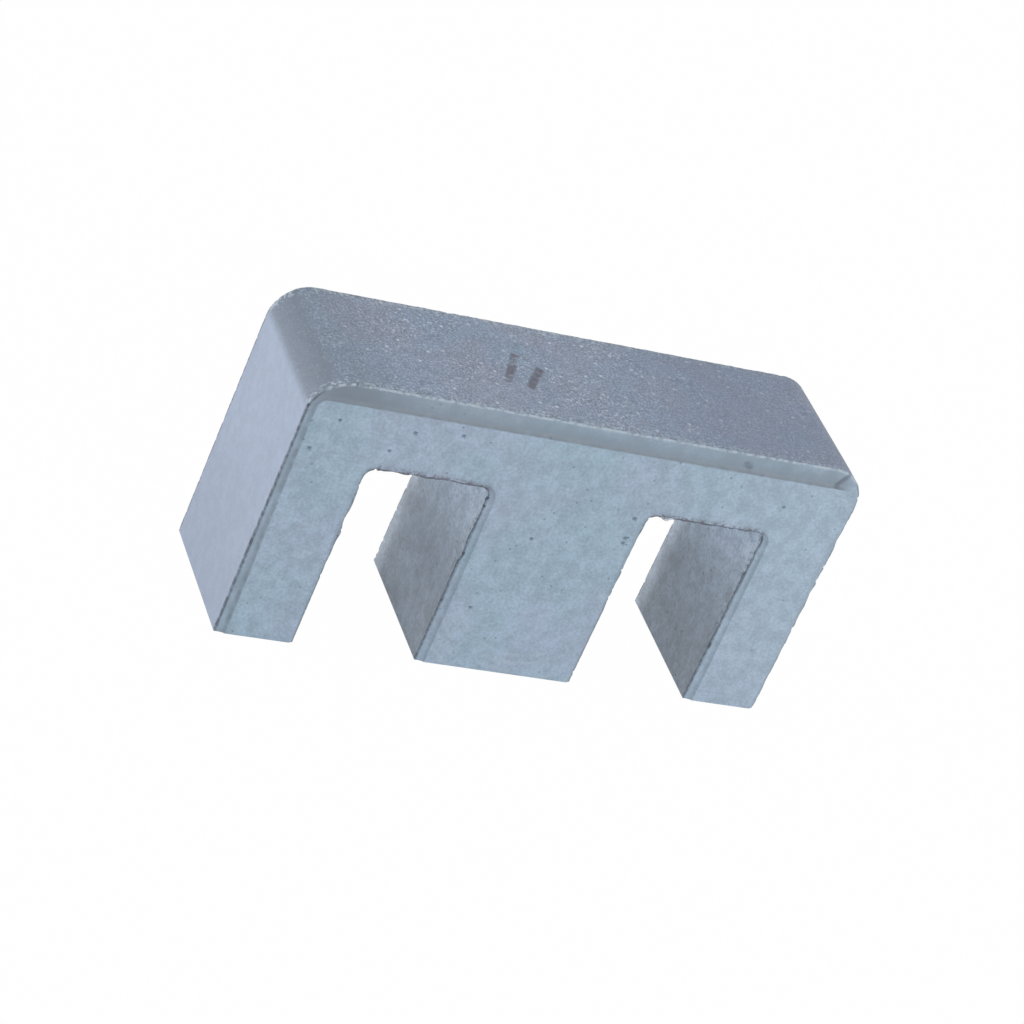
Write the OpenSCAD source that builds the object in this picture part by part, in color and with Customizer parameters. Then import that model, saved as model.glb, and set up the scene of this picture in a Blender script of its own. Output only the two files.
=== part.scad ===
// Ferrite E core: one pressed, sintered and ground block with a yoke and three legs.
// It stands on its leg ends. X runs along the core, Y through its thickness and Z up to
// the back of the yoke. The origin is the centre of the leg ends.

/* [Core] */
// Length over the three legs
core_l = 25; // [22:0.1:32]
// Height from the leg ends to the back of the yoke
core_h = 12.5; // [10.5:0.1:20]
// Thickness over the two raised E faces
core_t = 7; // [4:0.1:15]
// Radius of the yoke's two back corners
back_r = 1.65; // [0.6:0.05:3]

/* [Windows] */
// Distance between the outer legs
leg_span = 18.1; // [16:0.1:20]
// Width of the centre leg
centre_w = 7.2; // [5:0.1:9]
// Height of the windows, from the leg ends to the yoke
window_h = 8.8; // [5:0.1:10]
// Fillet radius where the yoke meets the legs
window_r = 0.5; // [0.35:0.05:0.9]

/* [Pressed land] */
// Drop of the land below the raised E face
land_drop = 0.08; // [0.04:0.01:0.2]
// Width of the land along the yoke's back
back_land = 0.9; // [0.5:0.05:1.2]
// Width of the land along the outer legs
side_land = 0.36; // [0.3:0.01:0.8]
// Width of the land along the windows' upright edges
window_land = 0.3; // [0.28:0.01:0.6]
// Width of the land along the windows' top edges
top_land = 0.1; // [0.05:0.01:0.4]
// Radius of the raised face's two back corners
face_r = 0.4; // [0.2:0.05:1.5]
// Width of the hollow curve that rises from the land to the face
cove_w = 0.25; // [0.15:0.01:0.27]

/* [Smoothness] */
// Facets round a full circle
facets = 96; // [48:8:160]

/* [Hidden] */
$fn = facets;

window_w = (leg_span - centre_w) / 2;
window_x = (leg_span + centre_w) / 4;
// Tools run this far past the faces that they cut
past = 1;

// A plate with its foot at y = 0 and two rounded top corners.
module arch(w, h, r) {
    translate([-w / 2, 0]) square([w, h - r]);
    translate([r - w / 2, 0]) square([w - 2 * r, h]);
    for (side = [-1, 1]) translate([side * (w / 2 - r), h - r]) circle(r);
}

// Puts its children at both windows.
module at_windows() {
    for (side = [-1, 1]) translate([side * window_x, 0]) children();
}

// The E where the press die shapes it.
module die_outline() {
    difference() {
        arch(core_l, core_h, back_r);
        at_windows() translate([0, -past]) arch(window_w, window_h + past, window_r);
    }
}

// The smaller E of the raised face, inside the land.
module face_outline() {
    difference() {
        arch(core_l - 2 * side_land, core_h - back_land, face_r);
        at_windows() translate([0, -past])
            arch(window_w + 2 * window_land, window_h + top_land + past, window_r);
    }
}

// Section of the hollow curve: land_drop high at x = 0, running out level at x = cove_w.
module cove_section() {
    curve_r = (cove_w * cove_w + land_drop * land_drop) / (2 * land_drop);
    difference() {
        square([cove_w, land_drop]);
        translate([cove_w, curve_r]) circle(curve_r);
    }
}

// The curve's section swept round an arch's edge, outside it, or inside it if inner is 1.
module cove_rim(w, h, r, inner = 0) {
    for (side = [0, 1]) mirror([side, 0, 0]) {
        translate([w / 2, h - r, 0]) rotate([90, 0, 0]) linear_extrude(h - r)
            mirror([inner, 0]) cove_section();
        translate([w / 2 - r, h - r, 0]) rotate_extrude(angle = 90)
            translate([r, 0]) mirror([inner, 0]) cove_section();
    }
    translate([r - w / 2, h, 0]) rotate([90, 0, 90]) linear_extrude(w - 2 * r)
        mirror([inner, 0]) cove_section();
}

// The curves of one E face, with the land's floor at z = 0.
module face_coves() {
    cove_rim(core_l - 2 * side_land, core_h - back_land, face_r);
    at_windows()
        cove_rim(window_w + 2 * window_land, window_h + top_land, window_r, inner = 1);
}

module core() {
    floor_t = core_t - 2 * land_drop;
    color([0.42, 0.46, 0.5]) rotate([90, 0, 0]) {
        linear_extrude(floor_t, center = true) die_outline();
        linear_extrude(core_t, center = true) face_outline();
        intersection() {
            linear_extrude(core_t, center = true) die_outline();
            for (face = [0, 1]) mirror([0, 0, face]) translate([0, 0, floor_t / 2]) face_coves();
        }
    }
}

core();
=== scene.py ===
import math

import bmesh
import bpy
from mathutils import Matrix, Vector, noise


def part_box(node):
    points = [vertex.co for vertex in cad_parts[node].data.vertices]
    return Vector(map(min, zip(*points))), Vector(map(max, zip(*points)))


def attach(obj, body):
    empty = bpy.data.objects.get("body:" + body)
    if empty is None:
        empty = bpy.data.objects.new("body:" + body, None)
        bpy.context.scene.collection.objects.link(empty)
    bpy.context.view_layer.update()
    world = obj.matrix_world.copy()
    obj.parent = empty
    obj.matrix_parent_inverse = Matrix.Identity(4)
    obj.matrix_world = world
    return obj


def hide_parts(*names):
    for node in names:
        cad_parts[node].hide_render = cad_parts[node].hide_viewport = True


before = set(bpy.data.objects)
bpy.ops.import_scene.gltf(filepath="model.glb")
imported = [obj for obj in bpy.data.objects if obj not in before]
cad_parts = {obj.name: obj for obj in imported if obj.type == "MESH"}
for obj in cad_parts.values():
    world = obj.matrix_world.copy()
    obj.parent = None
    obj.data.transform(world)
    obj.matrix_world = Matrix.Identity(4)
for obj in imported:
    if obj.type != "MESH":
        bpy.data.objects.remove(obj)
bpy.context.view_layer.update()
mm = 0.001

# The core stands on its leg ends: X along it, Y through its thickness, Z up to the yoke's back
low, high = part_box("core")
length = high.x - low.x
height = high.z - low.z
faceY = {-1: low.y, 1: high.y}      # the two E faces, front and rear

coreShape = {
    "legSpan": 18.1 * mm,           # between the outer legs
    "centreWidth": 7.2 * mm,
    "windowHeight": 8.8 * mm,
    "backRadius": 1.65 * mm,        # the yoke's two back corners
    "windowRadius": 0.5 * mm,
    "landDrop": 0.08 * mm,          # the pressed land lies this far below the E face
    "backLand": 0.93 * mm,          # its widths along the yoke's back, the legs and the windows
    "sideLand": 0.34 * mm,
    "windowLand": 0.3 * mm,
    "topLand": 0.1 * mm,
    "faceRadius": 0.4 * mm,         # back corners of the raised E face
    "coveWidth": 0.25 * mm,         # the hollow curve from the land up to the face
    "punchShift": (0.13 * mm, 0.02 * mm),   # sideways, at the leg ends and at the yoke
    "edgeRound": 0.035 * mm,
    "footBevel": 0.025 * mm,        # left by the grinding of the leg ends
    "pointSpacing": 0.1 * mm,       # along the edges
    "gridSpacing": 0.25 * mm,       # across the E faces
    "cornerSteps": 24,
}

# What pressing, ejecting and handling did to the edges
edgeWear = {
    "windowWave": 0.1 * mm,         # the die edges wander by this much, in bumps of waveLength
    "outerWave": 0.075 * mm,
    "waveLength": 0.75 * mm,
    "waveFrom": (3.0 * mm, 5.0 * mm),   # the windows' edges are straight below the first height
    "waveDepth": 0.4 * mm,          # how far down the walls the wander reaches
    "chipLength": 0.2 * mm,
    "chipDepth": 0.1 * mm,
    "crumb": (4.4 * mm, 0.24 * mm, 0.17 * mm),     # a crumb left hanging in the right window
    "rearChips": 0.25,              # the rear outline is less chipped
    "burrHeight": 0.05 * mm,        # the lip along the yoke's back, always below the E face
    "burrLength": 0.3 * mm,
}


def archWire(bm, arch):
    # an open arch of edges in the XZ plane, with two rounded top corners
    half, foot = arch["width"] / 2, coreShape["footBevel"]
    left, right = arch["centreX"] - half, arch["centreX"] + half
    others = set(bm.faces)
    corners = [(left, foot), (left, arch["rise"]), (right, arch["rise"]), (right, foot)]
    plate = bm.faces.new([bm.verts.new((x, 0, z)) for x, z in corners])
    top = [v for v in plate.verts if v.co.z > arch["rise"] / 2]
    bmesh.ops.bevel(bm, geom=top, offset=arch["radius"], offset_type="OFFSET",
                    segments=coreShape["cornerSteps"], profile=0.5, affect="VERTICES", material=-1)
    plate = [f for f in bm.faces if f not in others][0]
    edges = [e for e in plate.edges if max(v.co.z for v in e.verts) > foot * 1.01]
    footEdge = [e for e in plate.edges if e not in edges]
    bmesh.ops.delete(bm, geom=[plate], context="FACES_ONLY")
    bmesh.ops.delete(bm, geom=footEdge, context="EDGES")
    for edge in list(edges):
        cuts = int(edge.calc_length() / coreShape["pointSpacing"])
        if cuts > 1:
            parts = bmesh.ops.subdivide_edges(bm, edges=[edge], cuts=cuts)
            edges += [g for g in parts["geom_split"] if isinstance(g, bmesh.types.BMEdge)]
    return [e for e in set(edges) if e.is_valid]


def wallNormal(x, z, arch):
    # out of the ferrite: away from the outer arch, into a window
    side = 1 if x > arch["centreX"] else -1
    cornerX = arch["centreX"] + side * (arch["width"] / 2 - arch["radius"])
    dx = max(0.0, side * (x - cornerX)) * side
    dz = max(0.0, z - (arch["rise"] - arch["radius"]))
    if dx == 0 and dz == 0:
        return Vector((side, 0, 0)) * arch["outward"]
    return Vector((dx, 0, dz)).normalized() * arch["outward"]


def between(value, first, last):
    # 0 up to the first value, 1 from the last, eased between them
    t = min(max((value - first) / (last - first), 0.0), 1.0)
    return t * t * (3 - 2 * t)


def landAt(point, normal, arch, face):
    # from the die edge in to the raised face's edge, whose arch the punch carries a little sideways
    near, far = 0.0, 2 * mm
    atFoot, atYoke = coreShape["punchShift"]
    for halving in range(30):
        t = (near + far) / 2
        x, z = point.x - normal.x * t, point.z - normal.z * t
        shift = atFoot + (atYoke - atFoot) * between(z, 0, 10 * mm)
        dx = abs(x + face * shift - arch["centreX"]) - (arch["faceHalf"] - arch["faceRadius"])
        dz = z - (arch["faceRise"] - arch["faceRadius"])
        outside = math.hypot(max(dx, 0), max(dz, 0)) + min(max(dx, dz), 0) - arch["faceRadius"]
        if outside * arch["outward"] > 0:
            near = t
        else:
            far = t
    return near


def depthBelowFace(fromCrease):
    # how far the land lies below the face, this far from the face's edge
    drop, cove = coreShape["landDrop"], coreShape["coveWidth"]
    curve = (cove * cove + drop * drop) / (2 * drop)
    s = min(max(fromCrease, 0.0), cove)
    return drop - (curve - math.sqrt(curve * curve - (cove - s) ** 2))


def ripple(point, size, seed):
    return noise.noise(Vector((point.x / size, point.z / size, seed)))


def wearAt(point, normal, arch, face):
    # how the die edge wanders into the ferrite here, how much of it is chipped, and its burr
    seed = arch["seed"] + face * 3.7
    fine = 0.012 * mm * ripple(point, 0.17 * mm, seed + 9)
    if arch["outward"] < 0:
        start, full = edgeWear["waveFrom"]
        wander = edgeWear["windowWave"] * ripple(point, edgeWear["waveLength"], seed) * between(point.z, start, full)
        wander += fine
        if face < 0 and normal.z < -0.5:
            crumbX, crumbWidth, crumbDrop = edgeWear["crumb"]
            wander -= crumbDrop * math.exp(-((point.x - crumbX) / crumbWidth) ** 2)
        chipFrom = 0.12 if normal.z < -0.5 else (0.2 if normal.x < 0 else 0.42)
    else:
        right = between(normal.x, 0.3, 0.9)
        swing = edgeWear["outerWave"] * (1 + between(point.z, 6 * mm, 9 * mm))
        wander = swing * right * abs(ripple(point, edgeWear["waveLength"], seed)) + abs(fine)
        chipFrom = 0.22 if normal.x < -0.5 else 0.4
    chip = between(ripple(point, edgeWear["chipLength"], seed + 21), chipFrom, chipFrom + 0.3)
    patch = between(ripple(point, 1.3 * mm, seed + 33), -0.25, 0.2)
    chip *= 0.25 + 0.75 * patch
    if face > 0 and arch["outward"] > 0:
        chip *= edgeWear["rearChips"]
    top = between(normal.z, 0.6, 0.95)
    lip = 0.45 + 0.7 * ripple(point, edgeWear["burrLength"], seed + 40)
    burr = top * max(0.0, lip) * edgeWear["burrHeight"]
    return wander, chip, burr


wallSteps = [3.1, 2.6, 2.1, 1.6, 1.2, 0.85, 0.55, 0.32, 0.16, 0.06]     # mm down the wall from the edge
roundSteps = [0.0, 45.0, 90.0]
landSteps = [0.33, 0.67, 1.0]
coveSteps = [0.85, 0.68, 0.5, 0.32, 0.16, 0.06, 0.0]
flatSteps = [0.015, 0.05, 0.12, 0.2]        # mm past the crease
rowPlan = [("wall", k) for k in wallSteps] + [("round", k) for k in roundSteps]
rowPlan += [("land", k) for k in landSteps] + [("cove", k) for k in coveSteps] + [("flat", k) for k in flatSteps]


def rowPoint(station, face, kind, k):
    # a point of one row, as its inset from the die edge and its depth below the E face
    land = station["land"][face]
    wander, chip, burr = station["wear"][face]
    edge = coreShape["edgeRound"]
    cove = min(coreShape["coveWidth"], land - edge - 0.015 * mm)
    drop = depthBelowFace(land)
    chipped = chip * edgeWear["chipDepth"]
    if kind == "wall":
        fade = math.exp(-k * mm / edgeWear["waveDepth"])
        near = math.exp(-k * mm / (0.1 * mm))
        inset = wander * fade + chipped * 0.35 * near
        depth = drop + edge + k * mm + chipped * 0.5 * near
        across = -k
    elif kind == "round":
        angle = math.radians(k)
        inset = wander + edge * (1 - math.cos(angle)) + chipped * (0.5 + 0.35 * k / 90)
        depth = drop + edge * (1 - math.sin(angle)) + chipped * (1.1 - 0.3 * k / 90) - burr
        across = 0.0
    elif kind == "land":
        inset = edge + (land - cove - edge) * k
        depth = depthBelowFace(land - inset)
        near = math.exp(-(inset - edge) / (0.07 * mm))
        inset += (wander + 0.6 * chipped) * near
        depth += (chipped * 0.4 - burr) * near
        across = inset / mm
    else:
        inset = land - cove * k if kind == "cove" else land + k * mm
        depth = depthBelowFace(land - inset)
        across = inset / mm
    depth = max(depth, 0.0)
    x, z = station["point"].x - station["normal"].x * inset, station["point"].z - station["normal"].z * inset
    return Vector((x, faceY[face] - face * depth, z)), across, (inset - land) / mm if kind != "wall" else -9.0


print("core: outline")
bm = bmesh.new()
stationLayer = bm.verts.layers.int.new("station")
edgeLayer = bm.verts.layers.float.new("fromEdge")       # mm in from the die edge, less than 0 on the walls
creaseLayer = bm.verts.layers.float.new("pastCrease")   # mm past the raised face's edge
chipLayer = bm.verts.layers.float.new("chipped")
upLayer = bm.verts.layers.float.new("facesUp")          # 1 on the yoke's back, -1 on a window's top
windowLayer = bm.verts.layers.int.new("window")
windowWidth = (coreShape["legSpan"] - coreShape["centreWidth"]) / 2
windowX = (coreShape["legSpan"] + coreShape["centreWidth"]) / 4
arches = [{
    "width": length, "rise": height, "radius": coreShape["backRadius"], "centreX": 0, "outward": 1,
    "faceHalf": length / 2 - coreShape["sideLand"], "faceRise": height - coreShape["backLand"],
    "faceRadius": coreShape["faceRadius"], "seed": 1.5}]
for side in (-1, 1):
    arches.append({
        "width": windowWidth, "rise": coreShape["windowHeight"], "radius": coreShape["windowRadius"],
        "centreX": side * windowX, "outward": -1, "faceHalf": windowWidth / 2 + coreShape["windowLand"],
        "faceRise": coreShape["windowHeight"] + coreShape["topLand"],
        "faceRadius": coreShape["windowRadius"] + coreShape["topLand"], "seed": 10.5 + 6 * side})
stations = []
rims = {-1: [], 1: []}


def grow(edges, face, kind, k):
    # extrudes a row of edges and puts each new point in its place
    grown = bmesh.ops.extrude_edge_only(bm, edges=edges)["geom"]
    verts = {g for g in grown if isinstance(g, bmesh.types.BMVert)}
    for v in verts:
        station = stations[v[stationLayer]]
        v.co, v[edgeLayer], v[creaseLayer] = rowPoint(station, face, kind, k)
        fade = math.exp(-abs(v[edgeLayer]) / 0.06)
        v[chipLayer] = station["wear"][face][1] * fade
        v[upLayer] = station["normal"].z
    return [g for g in grown if isinstance(g, bmesh.types.BMEdge) and all(v in verts for v in g.verts)]


for arch in arches:
    middle = archWire(bm, arch)
    for v in {v for e in middle for v in e.verts}:
        normal = wallNormal(v.co.x, v.co.z, arch)
        v[stationLayer] = len(stations)
        v[edgeLayer] = -3.5
        v[creaseLayer] = -9.0
        v[upLayer] = normal.z
        v[windowLayer] = int(arch["outward"] < 0)
        stations.append({
            "point": v.co.copy(), "normal": normal,
            "land": {face: landAt(v.co, normal, arch, face) for face in (-1, 1)},
            "wear": {face: wearAt(v.co, normal, arch, face) for face in (-1, 1)}})
    for face in (-1, 1):
        row = middle
        for kind, k in rowPlan:
            row = grow(row, face, kind, k)
        rims[face].append(row)
print("core: walls and lands", len(bm.verts))


def footEnds(row):
    # the two ends of a row of edges, from left to right
    verts = {v for e in row for v in e.verts}
    foot = coreShape["footBevel"]
    return sorted([v for v in verts if abs(v.co.z - foot) < 1e-7], key=lambda v: v.co.x)


def gridFace(face):
    # joins the rims at the leg ends, fills the E face and cuts it into a grid
    outer, left, right = [footEnds(row) for row in rims[face]]
    others = set(bm.faces)
    feet = [bm.edges.new(pair) for pair in ((outer[0], left[0]), (left[1], right[0]), (right[1], outer[1]))]
    bmesh.ops.contextual_create(bm, geom=feet + [e for row in rims[face] for e in row])
    parts = [f for f in bm.faces if f not in others]
    step = coreShape["gridSpacing"]
    planes = [(Vector((-length / 2 + step * (i + 0.5), 0, 0)), Vector((1, 0, 0))) for i in range(int(length / step))]
    planes += [(Vector((0, 0, step * (i + 0.6))), Vector((0, 0, 1))) for i in range(int(height / step))]
    for place, direction in planes:
        edges = {e for f in parts for e in f.edges}
        verts = {v for f in parts for v in f.verts}
        cut = bmesh.ops.bisect_plane(bm, geom=list(parts) + list(edges) + list(verts), dist=1e-7,
                                     plane_co=place, plane_no=direction)
        parts = [g for g in cut["geom"] if isinstance(g, bmesh.types.BMFace)]
    return parts


grids = {face: gridFace(face) for face in (-1, 1)}
print("core: E faces", len(bm.faces))

# The leg ends, with the small bevel that grinding leaves
bmesh.ops.remove_doubles(bm, verts=bm.verts[:], dist=1e-8)
openEdges = [e for e in bm.edges if len(e.link_faces) < 2]
ends = bmesh.ops.edgenet_fill(bm, edges=openEdges)["faces"]
bmesh.ops.recalc_face_normals(bm, faces=bm.faces[:])
bmesh.ops.bisect_plane(bm, geom=bm.verts[:] + bm.edges[:] + bm.faces[:], dist=1e-8,
                       plane_co=Vector((0, 0, coreShape["footBevel"] + 0.03 * mm)), plane_no=Vector((0, 0, 1)))
bmesh.ops.inset_region(bm, faces=ends, thickness=coreShape["footBevel"], depth=coreShape["footBevel"],
                       use_even_offset=True, use_boundary=True)
# Pits in the front face: place along X and Z in mm, width and depth in mm
pits = [
    (-11.72, 9.28, 0.26, 0.09), (-11.07, 10.71, 0.13, 0.05), (-7.71, 10.69, 0.18, 0.07),
    (-5.65, 11.09, 0.15, 0.06), (-8.52, 9.66, 0.13, 0.05), (-1.06, 6.82, 0.16, 0.06), (3.12, 7.5, 0.2, 0.08),
    (3.47, 7.2, 0.19, 0.07), (3.33, 8.59, 0.2, 0.07), (9.3, 10.2, 0.14, 0.05), (-2.3, 3.1, 0.15, 0.06),
]


def pressPit(x, z, width, depth):
    cells = [f for f in grids[-1] if f.calc_area() > 0.9 * coreShape["gridSpacing"] ** 2]
    nearest = min(cells, key=lambda f: (f.calc_center_median() - Vector((x * mm, faceY[-1], z * mm))).length)
    grids[-1].remove(nearest)
    cell = coreShape["gridSpacing"]
    bmesh.ops.inset_individual(bm, faces=[nearest], thickness=(cell - min(width * mm, cell * 0.9)) / 2, depth=0)
    bmesh.ops.inset_individual(bm, faces=[nearest], thickness=width * mm * 0.2, depth=-depth * mm * 0.7)
    bmesh.ops.inset_individual(bm, faces=[nearest], thickness=width * mm * 0.1, depth=-depth * mm * 0.3)
    for v in nearest.verts:
        v[chipLayer] = 1.0


# Dents in the front land: a line from X, Z to X, Z, its radius and its depth, all in mm
dents = [(6.75, 11.95, 6.95, 11.85, 0.2, 0.05), (11.5, 12.25, 11.15, 11.7, 0.16, 0.05)]
for x0, z0, x1, z1, radius, depth in dents:
    start, end = Vector((x0, z0)) * mm, Vector((x1, z1)) * mm
    for v in bm.verts:
        if v.co.y < faceY[-1] + 0.15 * mm and v[creaseLayer] > -8:
            place = Vector((v.co.x, v.co.z))
            t = min(max((place - start).dot(end - start) / (end - start).length_squared, 0), 1)
            pressed = math.exp(-((place - start.lerp(end, t)).length / (radius * mm)) ** 2)
            v.co.y += depth * mm * pressed
            v[chipLayer] = max(v[chipLayer], 0.8 * pressed)
bm.normal_update()
for pit in pits:
    pressPit(*pit)
for v in bm.verts:
    v.co.z = max(v.co.z, 0.0)
print("core: closed,", sum(1 for e in bm.edges if len(e.link_faces) != 2), "open edges,",
      sum(len(f.verts) - 2 for f in bm.faces), "triangles")

# 0 punch face and land, 1 die wall and yoke back, 2 ground leg end, 3 window wall
endFaces = set(ends)
for f in bm.faces:
    f.smooth = f not in endFaces
    if f in endFaces:
        f.material_index = 2
    elif min(v[edgeLayer] for v in f.verts) > -0.001 and sum(v[creaseLayer] > -8 for v in f.verts) > 2:
        f.material_index = 0
    else:
        f.material_index = 3 if sum(v[windowLayer] for v in f.verts) > len(f.verts) / 2 else 1

mesh = bpy.data.meshes.new("eCore")
bm.to_mesh(mesh)
bm.free()
eCore = bpy.data.objects.new("eCore", mesh)
bpy.context.scene.collection.objects.link(eCore)
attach(eCore, "root")
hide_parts("core")


def linear(hexColour):
    # an sRGB hex colour as the linear colour that a shader takes
    parts = [int(hexColour[i:i + 2], 16) / 255 for i in (1, 3, 5)]
    return tuple(c / 12.92 if c <= 0.04045 else ((c + 0.055) / 1.055) ** 2.4 for c in parts) + (1.0,)


def addNode(material, kind, settings, inputs):
    # adds a node, sets its options, and fills or links its sockets; gives back the node
    made = material.node_tree.nodes.new("ShaderNode" + kind)
    for name, value in settings.items():
        setattr(made, name, value)
    for socket, value in inputs.items():
        if isinstance(value, bpy.types.NodeSocket):
            material.node_tree.links.new(value, made.inputs[socket])
        else:
            made.inputs[socket].default_value = value
    return made


def perMm(size):
    # the texture scale at which one feature is this many mm wide
    return 1 / (size * mm)


def newMaterial(name):
    material = bpy.data.materials.new(name)
    material.use_nodes = True
    material.node_tree.nodes.clear()
    return material


print("materials")
ferrite = {
    "faceBlue": "#9cb4c6",          # the punch face drifts between these two over a few mm
    "faceViolet": "#a2b3c8",
    # painted light: the face paler towards the right-hand leg
    "facePaintedLight": "#abbed1",          # towards the right-hand leg
    "landTone": "#8c9dad",
    # painted shade on the land along the yoke's back
    "backLandPaintedShade": "#7f8d9b",
    "creaseTone": "#74818e",
    # painted highlight on burrs and edges
    "burrPaintedHighlight": "#b9c8d4",
    "pitTone": "#4c5765",
    "wallTone": "#a0adc4",
    "wallShade": "#9aa8be",
    # painted shade, low on the sides
    "wallPaintedShade": "#94a0b5",
    # painted shade over the yoke's rounded back corner
    "cornerPaintedShade": "#727d8b",
    "backBlue": "#8ca1bc",
    "backViolet": "#929eb7",
    # painted shade on the back, towards the right-hand end of the yoke
    "backPaintedShade": "#78859f",          # towards the right-hand end of the yoke
    # a pale grain tone, and painted glints
    "grainPaleAndGlint": "#e4ecf6",
    "grainDark": "#707b8e",
    "windowTone": "#b6c2cf",
    "windowShade": "#a8b2bd",
    # painted light, high on the window walls
    "windowPaintedLight": "#e4f1ff",
    "windowDirt": "#615d6b",
    "inkTone": "#55505e",
    "groundTone": "#6d757d",
    "groundPale": "#979fa7",
    "cloudSize": 4.2,               # mm
    "mottleSize": 0.55,
    "poreCell": 0.62,               # one small pore in every few cells of this size
    "poreRadius": 0.05,
    "glintSize": 0.13,
    "grainSize": 0.13,              # real grains are 0.01 mm; clusters of them show as this
    "ior": 1.6,                     # dense ferrite is about 2.3, its porous pressed skin less
}


def smoothMap(material, value, first, last, low=0.0, high=1.0):
    # eases a value from low to high between first and last
    return addNode(material, "MapRange", {"interpolation_type": "SMOOTHSTEP"}, {
        "Value": value, "From Min": first, "From Max": last, "To Min": low, "To Max": high}).outputs["Result"]


def times(material, *values):
    product = values[0]
    for value in values[1:]:
        product = addNode(material, "Math", {"operation": "MULTIPLY"}, {0: product, 1: value}).outputs[0]
    return product


def blend(material, factor, under, over, mode="MIX"):
    return addNode(material, "Mix", {"data_type": "RGBA", "blend_type": mode},
                   {0: factor, 6: under, 7: over}).outputs[2]


def attribute(material, name):
    return addNode(material, "Attribute", {"attribute_name": name}, {}).outputs["Fac"]


def noiseAt(material, where, size, detail=2.0, roughness=0.5):
    return addNode(material, "TexNoise", {}, {"Vector": where, "Scale": perMm(size), "Detail": detail,
                                              "Roughness": roughness}).outputs["Fac"]


def mottled(material, where, colour, amount):
    # the uneven tone of a sintered skin: soft mottling, then fine grain
    soft = smoothMap(material, noiseAt(material, where, ferrite["mottleSize"], 3.0, 0.6), 0.3, 0.7, 1 - amount, 1.0 + amount)
    fine = smoothMap(material, noiseAt(material, where, ferrite["grainSize"], 1.0), 0.25, 0.75, 1 - amount, 1.0 + amount)
    tone = times(material, soft, fine)
    grey = addNode(material, "CombineColor", {}, {0: tone, 1: tone, 2: tone}).outputs[0]
    return blend(material, 1.0, colour, grey, "MULTIPLY")


def poreMask(material, where, cell, radius):
    # dots where the surface cuts through small round pores
    dots = addNode(material, "TexVoronoi", {"feature": "F1"}, {"Vector": where, "Scale": perMm(cell)})
    return smoothMap(material, dots.outputs["Distance"], radius / cell * 0.5, radius / cell * 1.3, 1.0, 0.0)


def finish(material, colour, roughness, height, relief):
    # the shader, its bump in mm, and the output
    bump = addNode(material, "Bump", {}, {"Height": height, "Strength": 1.0, "Distance": relief * mm})
    shader = addNode(material, "BsdfPrincipled", {}, {
        "Base Color": colour, "Roughness": roughness, "IOR": ferrite["ior"], "Normal": bump.outputs["Normal"]})
    addNode(material, "OutputMaterial", {}, {"Surface": shader.outputs["BSDF"]})
    mesh.materials.append(material)


# Sintered ferrite, pressed by a punch: matt blue-grey, softly mottled, with small dark pores,
# a duller land round its outline and a darker line along the crease; painted shade on the land
# along the yoke's back and round its left corner, painted light towards the right-hand leg, and a
# painted highlight along the back's edge
face = newMaterial("sinteredFerritePressed")
where = addNode(face, "TexCoord", {}, {}).outputs["Object"]
fromEdge = attribute(face, "fromEdge")
pastCrease = attribute(face, "pastCrease")
facesUp = attribute(face, "facesUp")
chipped = attribute(face, "chipped")
places = addNode(face, "SeparateXYZ", {}, {0: where})
cloud = smoothMap(face, noiseAt(face, where, ferrite["cloudSize"], 3.0, 0.55), 0.36, 0.64)
colour = blend(face, cloud, linear(ferrite["faceBlue"]), linear(ferrite["faceViolet"]))
# painted light: the face paler towards the right-hand leg
colour = blend(face, smoothMap(face, places.outputs["X"], 1 * mm, 12 * mm, 0.0, 0.6), colour, linear(ferrite["facePaintedLight"]))
colour = mottled(face, where, colour, 0.1)
pores = poreMask(face, where, ferrite["poreCell"], ferrite["poreRadius"])
colour = blend(face, times(face, pores, 0.45), colour, linear(ferrite["pitTone"]))

# The turning marks left on the centre leg: arcs round a point low on the leg
apart = addNode(face, "VectorMath", {"operation": "SUBTRACT"}, {0: where, 1: (0.5 * mm, faceY[-1], 4.5 * mm)}).outputs[0]
reach = addNode(face, "VectorMath", {"operation": "LENGTH"}, {0: apart}).outputs["Value"]
rings = addNode(face, "Math", {"operation": "SINE"}, {0: times(face, reach, 2 * math.pi / (0.42 * mm))}).outputs[0]
ringZone = times(face, smoothMap(face, reach, 3.0 * mm, 3.6 * mm), smoothMap(face, reach, 5.4 * mm, 6.2 * mm, 1.0, 0.0),
                 smoothMap(face, noiseAt(face, where, 0.9, 1.0), 0.4, 0.6),
                 smoothMap(face, places.outputs["Z"], 2.6 * mm, 4.4 * mm, 1.0, 0.0))
colour = blend(face, times(face, smoothMap(face, rings, -0.2, 1.0), ringZone, 0.45), colour, linear("#b4c3d0"))

onLand = smoothMap(face, pastCrease, -0.04, 0.0, 1.0, 0.0)
onBack = smoothMap(face, facesUp, 0.5, 0.9)
onLeft = smoothMap(face, places.outputs["X"], -11.95 * mm, -11.6 * mm, 1.0, 0.0)
plain = addNode(face, "Math", {"operation": "MAXIMUM"}, {0: onBack, 1: onLeft}).outputs[0]
strong = smoothMap(face, plain, 0.0, 1.0, 0.3, 1.0)
landGrime = smoothMap(face, noiseAt(face, where, 0.8, 3.0), 0.3, 0.7, 0.35, 0.9)
colour = blend(face, times(face, onLand, landGrime, strong), colour, linear(ferrite["landTone"]))
# painted shade: the land along the yoke's back darker towards the crease
backShade = smoothMap(face, pastCrease, -0.85, -0.03, 0.1, 0.8)
colour = blend(face, times(face, onLand, onBack, backShade), colour, linear(ferrite["backLandPaintedShade"]))
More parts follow.
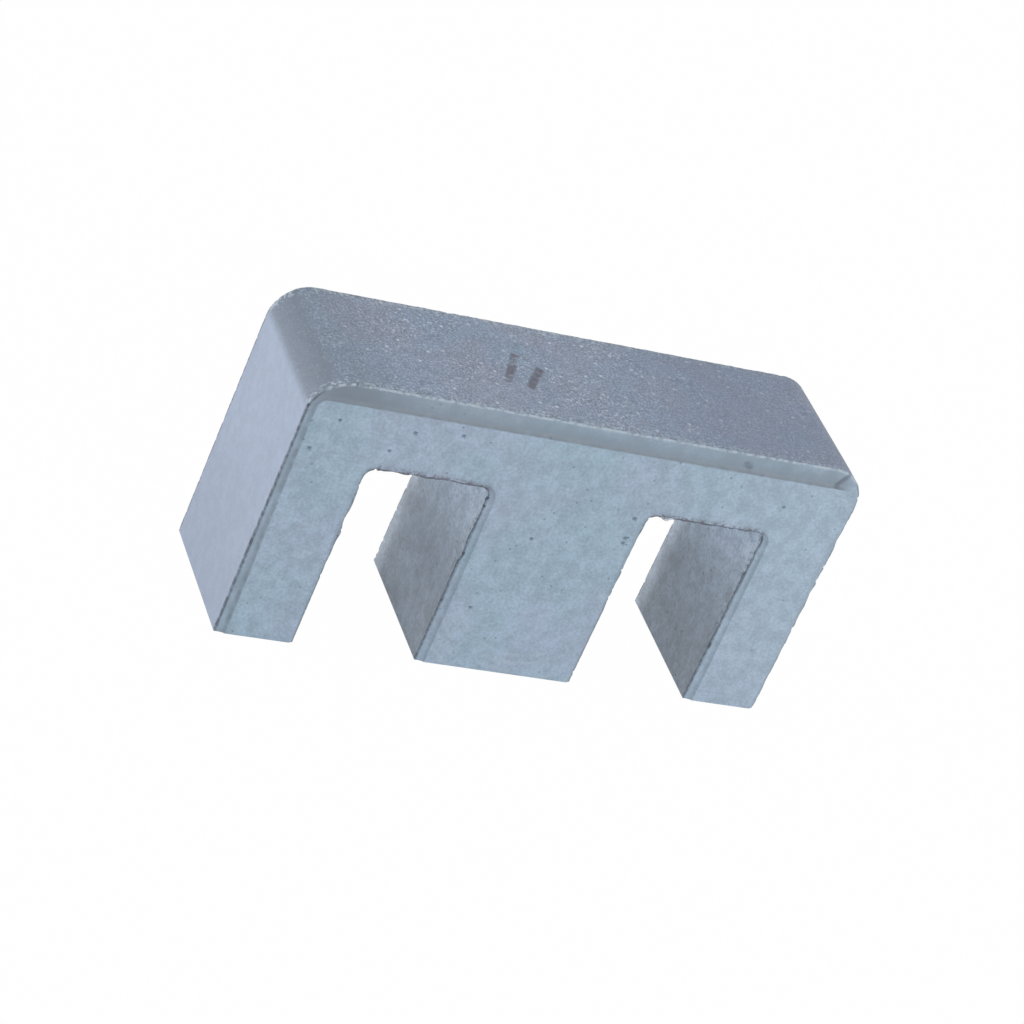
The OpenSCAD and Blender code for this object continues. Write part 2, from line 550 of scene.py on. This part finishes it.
# painted shade: the land darker round the yoke's left corner
cornerBandShade = times(face, onLand, smoothMap(face, facesUp, 0.15, 0.6), smoothMap(face, places.outputs["X"], -11.2 * mm, -7 * mm, 0.7, 0.0))
colour = blend(face, cornerBandShade, colour, linear(ferrite["cornerPaintedShade"]))
# darker along the crease, in patches
crease = times(face, smoothMap(face, pastCrease, -0.22, -0.06), smoothMap(face, pastCrease, -0.01, 0.03, 1.0, 0.0))
creaseDarkening = smoothMap(face, noiseAt(face, where, 0.5, 3.0), 0.3, 0.65, 0.3, 0.8)
colour = blend(face, times(face, crease, creaseDarkening, strong), colour, linear(ferrite["creaseTone"]))
atEdge = smoothMap(face, fromEdge, 0.03, 0.13, 1.0, 0.0)
# painted highlight: a bright broken line along the back's edge
burrHighlights = smoothMap(face, noiseAt(face, where, 0.22, 2.0), 0.38, 0.55)
colour = blend(face, times(face, atEdge, onBack, burrHighlights, 0.85), colour, linear(ferrite["burrPaintedHighlight"]))
offBack = smoothMap(face, facesUp, 0.5, 0.8, 1.0, 0.0)
edgeGrime = smoothMap(face, noiseAt(face, where, 0.2, 2.0), 0.4, 0.58, 0.6, 1.0)
colour = blend(face, times(face, atEdge, offBack, edgeGrime, smoothMap(face, strong, 0.3, 1.0, 0.7, 0.9)), colour, linear(ferrite["pitTone"]))
colour = blend(face, times(face, smoothMap(face, chipped, 0.2, 0.8), 0.6), colour, linear(ferrite["pitTone"]))
onTop = smoothMap(face, facesUp, -0.9, -0.5, 1.0, 0.0)
colour = blend(face, times(face, onTop, atEdge, edgeGrime, 0.9), colour, linear(ferrite["pitTone"]))
topGrime = times(face, onTop, smoothMap(face, fromEdge, 0.08, 0.4, 1.0, 0.0),
                 smoothMap(face, noiseAt(face, where, 0.7, 3.0), 0.42, 0.62))
colour = blend(face, times(face, topGrime, 0.5), colour, linear(ferrite["windowDirt"]))
topSpecks = times(face, onTop, smoothMap(face, fromEdge, 0.05, 0.35, 1.0, 0.0),
                  smoothMap(face, noiseAt(face, where, 0.15, 2.0, 0.6), 0.52, 0.58))
colour = blend(face, times(face, topSpecks, 0.9), colour, linear(ferrite["windowDirt"]))
grain = noiseAt(face, where, ferrite["grainSize"], 3.0, 0.6)
relief = addNode(face, "Math", {"operation": "SUBTRACT"}, {0: grain, 1: times(face, pores, 1.5)}).outputs[0]
finish(face, colour, smoothMap(face, grain, 0.3, 0.7, 0.5, 0.62), relief, 0.012)

# Sintered ferrite, slid out of the die: smoother and paler on the sides, with painted shade low down;
# the yoke's back is the coarse upper skin, darker and more violet, with painted glints on clusters of
# grains, painted shade over the rounded corner and towards its right-hand end, and painted highlights
# flecking the lip along its edge
wall = newMaterial("sinteredFerriteDieWall")
where = addNode(wall, "TexCoord", {}, {}).outputs["Object"]
fromEdge = attribute(wall, "fromEdge")
facesUp = attribute(wall, "facesUp")
chipped = attribute(wall, "chipped")
drawn = addNode(wall, "Mapping", {"vector_type": "POINT"}, {"Vector": where, "Scale": (1.0, 0.08, 1.0)}).outputs[0]
strokes = noiseAt(wall, drawn, 0.16, 2.0)
sides = blend(wall, smoothMap(wall, noiseAt(wall, where, 5.0, 2.0), 0.35, 0.65),
              linear(ferrite["wallTone"]), linear(ferrite["wallShade"]))
rise = addNode(wall, "SeparateXYZ", {}, {0: where}).outputs["Z"]
# painted shade: the sides darker towards the bottom
sides = blend(wall, smoothMap(wall, rise, 0.0, 8 * mm, 0.8, 0.0), sides, linear(ferrite["wallPaintedShade"]))
sides = mottled(wall, where, sides, 0.05)
sides = blend(wall, smoothMap(wall, strokes, 0.3, 0.7, 0.0, 0.12), sides, linear(ferrite["wallShade"]))
back = blend(wall, smoothMap(wall, noiseAt(wall, where, 3.2, 3.0), 0.38, 0.62),
             linear(ferrite["backBlue"]), linear(ferrite["backViolet"]))
back = mottled(wall, where, back, 0.1)
# fine grain in a dark and a pale tone; the pale specks are painted glints
sparkle = noiseAt(wall, where, 0.09, 1.0)
back = blend(wall, smoothMap(wall, sparkle, 0.52, 0.66, 0.0, 0.3), back, linear(ferrite["grainDark"]))
back = blend(wall, smoothMap(wall, sparkle, 0.34, 0.48, 0.35, 0.0), back, linear(ferrite["grainPaleAndGlint"]))
rough = noiseAt(wall, where, 2.6, 2.0)
# painted glints: pale grain clusters scattered over the back
grains = addNode(wall, "TexVoronoi", {"feature": "F1"}, {"Vector": where, "Scale": perMm(ferrite["glintSize"])})
grainTone = addNode(wall, "SeparateColor", {}, {0: grains.outputs["Color"]})
shiny = smoothMap(wall, grainTone.outputs[0], 0.5, 0.9)
paintedGlints = times(wall, shiny, smoothMap(wall, rough, 0.38, 0.62, 0.25, 1.0),
                  smoothMap(wall, grains.outputs["Distance"], 0.2, 0.55, 1.0, 0.0))
back = blend(wall, times(wall, paintedGlints, 0.7), back, linear(ferrite["grainPaleAndGlint"]))
# painted glints: sparse bright specks
specks = addNode(wall, "TexVoronoi", {"feature": "F1"}, {"Vector": where, "Scale": perMm(0.42)})
speckTone = addNode(wall, "SeparateColor", {}, {0: specks.outputs["Color"]}).outputs[2]
paintedSparks = times(wall, smoothMap(wall, speckTone, 0.8, 0.9), smoothMap(wall, specks.outputs["Distance"], 0.12, 0.3, 1.0, 0.0))
back = blend(wall, times(wall, paintedSparks, 0.9), back, linear(ferrite["grainPaleAndGlint"]))
dark = times(wall, smoothMap(wall, grainTone.outputs[1], 0.8, 0.97), smoothMap(wall, rough, 0.38, 0.62, 0.3, 1.0))
back = blend(wall, times(wall, dark, 0.5), back, linear(ferrite["grainDark"]))

# An inspector's worn ink dab: two short strokes on the yoke's back
inkPlace = Vector((-2.7, -0.3, 12.5)) * mm
worn = smoothMap(wall, noiseAt(wall, where, 0.7, 2.0, 0.6), 0.3, 0.55, 0.25, 1.0)
for shift, halfLength, turn in ((-0.55, 1.3, 24), (0.5, 1.05, 30)):
    start = addNode(wall, "VectorMath", {"operation": "SUBTRACT"}, {0: where, 1: inkPlace}).outputs[0]
    laid = addNode(wall, "VectorRotate", {"rotation_type": "Z_AXIS"},
                   {"Vector": start, "Angle": math.radians(turn)}).outputs[0]
    parts = addNode(wall, "SeparateXYZ", {}, {0: laid})
    alongX = addNode(wall, "Math", {"operation": "ABSOLUTE"}, {0: parts.outputs["Y"]}).outputs[0]
    offset = addNode(wall, "Math", {"operation": "SUBTRACT"}, {0: parts.outputs["X"], 1: shift * mm}).outputs[0]
    acrossX = addNode(wall, "Math", {"operation": "ABSOLUTE"}, {0: offset}).outputs[0]
    stroke = times(wall, smoothMap(wall, alongX, (halfLength - 0.15) * mm, halfLength * mm, 1.0, 0.0),
                   smoothMap(wall, acrossX, 0.1 * mm, 0.26 * mm, 1.0, 0.0), worn, 0.8)
    back = blend(wall, stroke, back, linear(ferrite["inkTone"]))

# painted shade: darker over the rounded corner between the side and the back
cornerShade = times(wall, smoothMap(wall, facesUp, 0.02, 0.4), smoothMap(wall, facesUp, 0.8, 1.0, 1.0, 0.0))
toBack = smoothMap(wall, facesUp, 0.0, 0.4)
fromCorner = addNode(wall, "SeparateXYZ", {}, {0: where}).outputs["X"]
# painted shade: the back darker near its left corner
back = blend(wall, smoothMap(wall, fromCorner, -11.6 * mm, -8 * mm, 0.4, 0.0), back, linear(ferrite["cornerPaintedShade"]))
# painted shade: the back darker towards its right-hand end
back = blend(wall, smoothMap(wall, fromCorner, 0.0, 7 * mm, 0.0, 0.45), back, linear(ferrite["backPaintedShade"]))
colour = blend(wall, toBack, sides, back)
colour = blend(wall, times(wall, cornerShade, 0.7), colour, linear(ferrite["cornerPaintedShade"]))
nearEdge = smoothMap(wall, fromEdge, -0.3, -0.04)
lipZone = smoothMap(wall, fromEdge, -0.45, -0.12)
# painted highlights: bright flecks on the lip along the back
flecks = smoothMap(wall, noiseAt(wall, where, 0.16, 2.0), 0.5, 0.58)
colour = blend(wall, times(wall, lipZone, flecks, toBack, smoothMap(wall, fromCorner, -3 * mm, 6 * mm, 0.9, 0.45)), colour, linear(ferrite["burrPaintedHighlight"]))
crumbs = smoothMap(wall, noiseAt(wall, where, 0.2, 2.0, 0.6), 0.54, 0.62)
colour = blend(wall, times(wall, lipZone, crumbs, toBack, 0.7), colour, linear(ferrite["grainDark"]))
sideFlecks = addNode(wall, "Math", {"operation": "SUBTRACT"}, {0: 1.0, 1: toBack}).outputs[0]
colour = blend(wall, times(wall, nearEdge, sideFlecks, smoothMap(wall, chipped, 0.15, 0.7)), colour,
               linear(ferrite["pitTone"]))
edgeLine = times(wall, smoothMap(wall, fromEdge, -0.13, -0.02), sideFlecks, smoothMap(
    wall, noiseAt(wall, where, 0.2, 2.0), 0.42, 0.56, 0.3, 1.0))
colour = blend(wall, edgeLine, colour, linear(ferrite["pitTone"]))
fine = noiseAt(wall, where, ferrite["grainSize"], 3.0, 0.65)
relief = blend(wall, toBack, times(wall, strokes, 0.25), fine)
finish(wall, colour, smoothMap(wall, facesUp, 0.1, 0.6, 0.5, 0.58), relief, 0.022)

# Ferrite ground with a diamond wheel: flat, darker, with fine parallel lines along the core
ground = newMaterial("sinteredFerriteGround")
where = addNode(ground, "TexCoord", {}, {}).outputs["Object"]
lines = addNode(ground, "Mapping", {}, {"Vector": where, "Scale": (0.03, 1.0, 1.0)}).outputs[0]
scratch = noiseAt(ground, lines, 0.16, 4.0, 0.7)
colour = blend(ground, smoothMap(ground, scratch, 0.3, 0.7), linear(ferrite["groundTone"]), linear(ferrite["groundPale"]))
colour = blend(ground, times(ground, poreMask(ground, where, 0.5, 0.05), 0.6), colour, linear(ferrite["pitTone"]))
finish(ground, colour, smoothMap(ground, scratch, 0.3, 0.7, 0.3, 0.42), scratch, 0.004)

# The windows' walls were formed by the die's core rods: greyer, with fine strokes along the pressing,
# painted light towards the yoke and painted glints high along the edges
window = newMaterial("sinteredFerriteCoreRod")
where = addNode(window, "TexCoord", {}, {}).outputs["Object"]
fromEdge = attribute(window, "fromEdge")
chipped = attribute(window, "chipped")
drawn = addNode(window, "Mapping", {}, {"Vector": where, "Scale": (1.0, 0.12, 1.0)}).outputs[0]
strokes = noiseAt(window, drawn, 0.14, 3.0, 0.6)
colour = blend(window, smoothMap(window, noiseAt(window, where, 3.0, 3.0), 0.35, 0.65),
               linear(ferrite["windowTone"]), linear(ferrite["windowShade"]))
rise = addNode(window, "SeparateXYZ", {}, {0: where}).outputs["Z"]
# painted light: the walls paler towards the yoke
colour = blend(window, smoothMap(window, rise, 3.5 * mm, 8 * mm), colour, linear(ferrite["windowPaintedLight"]))
colour = mottled(window, where, colour, 0.13)
colour = blend(window, smoothMap(window, strokes, 0.5, 0.72, 0.0, 0.35), colour, linear("#b3b9c6"))
colour = blend(window, times(window, poreMask(window, where, 0.7, 0.06), 0.6), colour, linear(ferrite["pitTone"]))
nearEdge = smoothMap(window, fromEdge, -0.14, -0.02)
colour = blend(window, times(window, nearEdge, smoothMap(window, chipped, 0.15, 0.7)), colour,
               linear(ferrite["pitTone"]))
edgeLine = times(window, smoothMap(window, fromEdge, -0.09, -0.01), smoothMap(
    window, noiseAt(window, where, 0.25, 2.0), 0.4, 0.6, 0.3, 0.9))
colour = blend(window, edgeLine, colour, linear(ferrite["pitTone"]))
edgePits = times(window, smoothMap(window, fromEdge, -0.4, -0.05), smoothMap(
    window, noiseAt(window, where, 0.16, 2.0, 0.6), 0.56, 0.62), smoothMap(window, rise, 2.5 * mm, 4.5 * mm))
colour = blend(window, times(window, edgePits, 0.85), colour, linear(ferrite["windowDirt"]))
# painted glints: bright specks along the window edges, high up
edgeGlints = times(window, smoothMap(window, fromEdge, -0.2, -0.03), smoothMap(
    window, noiseAt(window, where, 0.13, 1.0), 0.62, 0.68), smoothMap(window, rise, 2.5 * mm, 4.5 * mm))
colour = blend(window, edgeGlints, colour, linear(ferrite["burrPaintedHighlight"]))
finish(window, colour, 0.55, strokes, 0.01)

floorMesh = bpy.data.meshes.new("floor")
floorBm = bmesh.new()
bmesh.ops.create_grid(floorBm, x_segments=1, y_segments=1, size=1.5)
bmesh.ops.translate(floorBm, verts=floorBm.verts[:], vec=(0, 0, 0.001 * mm))     # a hair up, clear of the leg ends
floorBm.to_mesh(floorMesh)
floorBm.free()
floor = bpy.data.objects.new("floor", floorMesh)
bpy.context.scene.collection.objects.link(floor)

studio = {
    "floorColour": "#e6e6e6",
    "ambient": 0.52,
    "keyPower": 1.2,               # watts
    "keySize": 0.12,                # metres
    "keyFrom": Vector((-0.5, 0.05, 0.05)),
    "fillPower": 1.0,
    "fillSize": 0.3,
    "fillFrom": Vector((0.24, -0.43, 0.1)),
    "distance": 156.3 * mm,         # the camera, from the point that it looks at
    "azimuth": -29.47,
    "elevation": 28.93,
    "roll": 24.63,
    "lens": 130.3,
    "aim": Vector((0.91, 2.26, 4.26)) * mm,
}


def addLamp(name, place, target, size, power, colour):
    lamp = bpy.data.lights.new(name, "AREA")
    lamp.shape = "DISK"
    lamp.size = size
    lamp.energy = power
    lamp.color = linear(colour)[:3]
    lampObject = bpy.data.objects.new(name, lamp)
    lampObject.location = place
    lampObject.rotation_euler = (target - place).to_track_quat("-Z", "Y").to_euler()
    bpy.context.scene.collection.objects.link(lampObject)


middle = Vector((0, 0, height / 2))
addLamp("key", studio["keyFrom"], middle, studio["keySize"], studio["keyPower"], "#ffffff")
addLamp("fill", studio["fillFrom"], middle, studio["fillSize"], studio["fillPower"], "#ffffff")

white = newMaterial("paleFloor")
paper = addNode(white, "BsdfDiffuse", {}, {"Color": linear(studio["floorColour"])})
glow = addNode(white, "Emission", {}, {"Color": linear("#ffffff"), "Strength": 1.0})
seen = addNode(white, "LightPath", {}, {})
gloss = addNode(white, "Math", {"operation": "MAXIMUM"},
                {0: seen.outputs["Is Camera Ray"], 1: seen.outputs["Is Glossy Ray"]})
direct = addNode(white, "Math", {"operation": "MAXIMUM"},
                 {0: gloss.outputs[0], 1: seen.outputs["Is Transmission Ray"]})
share = addNode(white, "Math", {"operation": "MULTIPLY"}, {0: direct.outputs[0], 1: 0.992})
mixed = addNode(white, "MixShader", {}, {0: share.outputs[0], 1: paper.outputs[0], 2: glow.outputs[0]})
addNode(white, "OutputMaterial", {}, {"Surface": mixed.outputs[0]})
floorMesh.materials.append(white)

world = bpy.data.worlds.new("world")
bpy.context.scene.world = world
world.use_nodes = True
world.node_tree.nodes.clear()
glow = addNode(world, "Background", {}, {"Color": linear("#ffffff"), "Strength": studio["ambient"]})
plain = addNode(world, "Background", {}, {"Color": linear("#ffffff"), "Strength": 1.0})
seen = addNode(world, "LightPath", {}, {})
gloss = addNode(world, "Math", {"operation": "MAXIMUM"},
                {0: seen.outputs["Is Camera Ray"], 1: seen.outputs["Is Glossy Ray"]})
direct = addNode(world, "Math", {"operation": "MAXIMUM"},
                 {0: gloss.outputs[0], 1: seen.outputs["Is Transmission Ray"]})
mixed = addNode(world, "MixShader", {}, {0: direct.outputs[0], 1: glow.outputs[0], 2: plain.outputs[0]})
addNode(world, "OutputWorld", {}, {"Surface": mixed.outputs[0]})

print("camera")
camera = bpy.data.cameras.new("camera")
camera.lens = studio["lens"]
camera.sensor_width = 36
camera.clip_start = 0.01
cameraObject = bpy.data.objects.new("camera", camera)
bpy.context.scene.collection.objects.link(cameraObject)
bpy.context.scene.camera = cameraObject
azimuth, elevation = math.radians(studio["azimuth"]), math.radians(studio["elevation"])
outwards = Vector((math.sin(azimuth) * math.cos(elevation), -math.cos(azimuth) * math.cos(elevation), math.sin(elevation)))
level = outwards.to_track_quat("Z", "Y").to_matrix()
turned = level @ Matrix.Rotation(math.radians(studio["roll"]), 3, "Z")
cameraObject.matrix_world = Matrix.Translation(studio["aim"] + outwards * studio["distance"]) @ turned.to_4x4()
bpy.context.scene.view_settings.view_transform = "Standard"
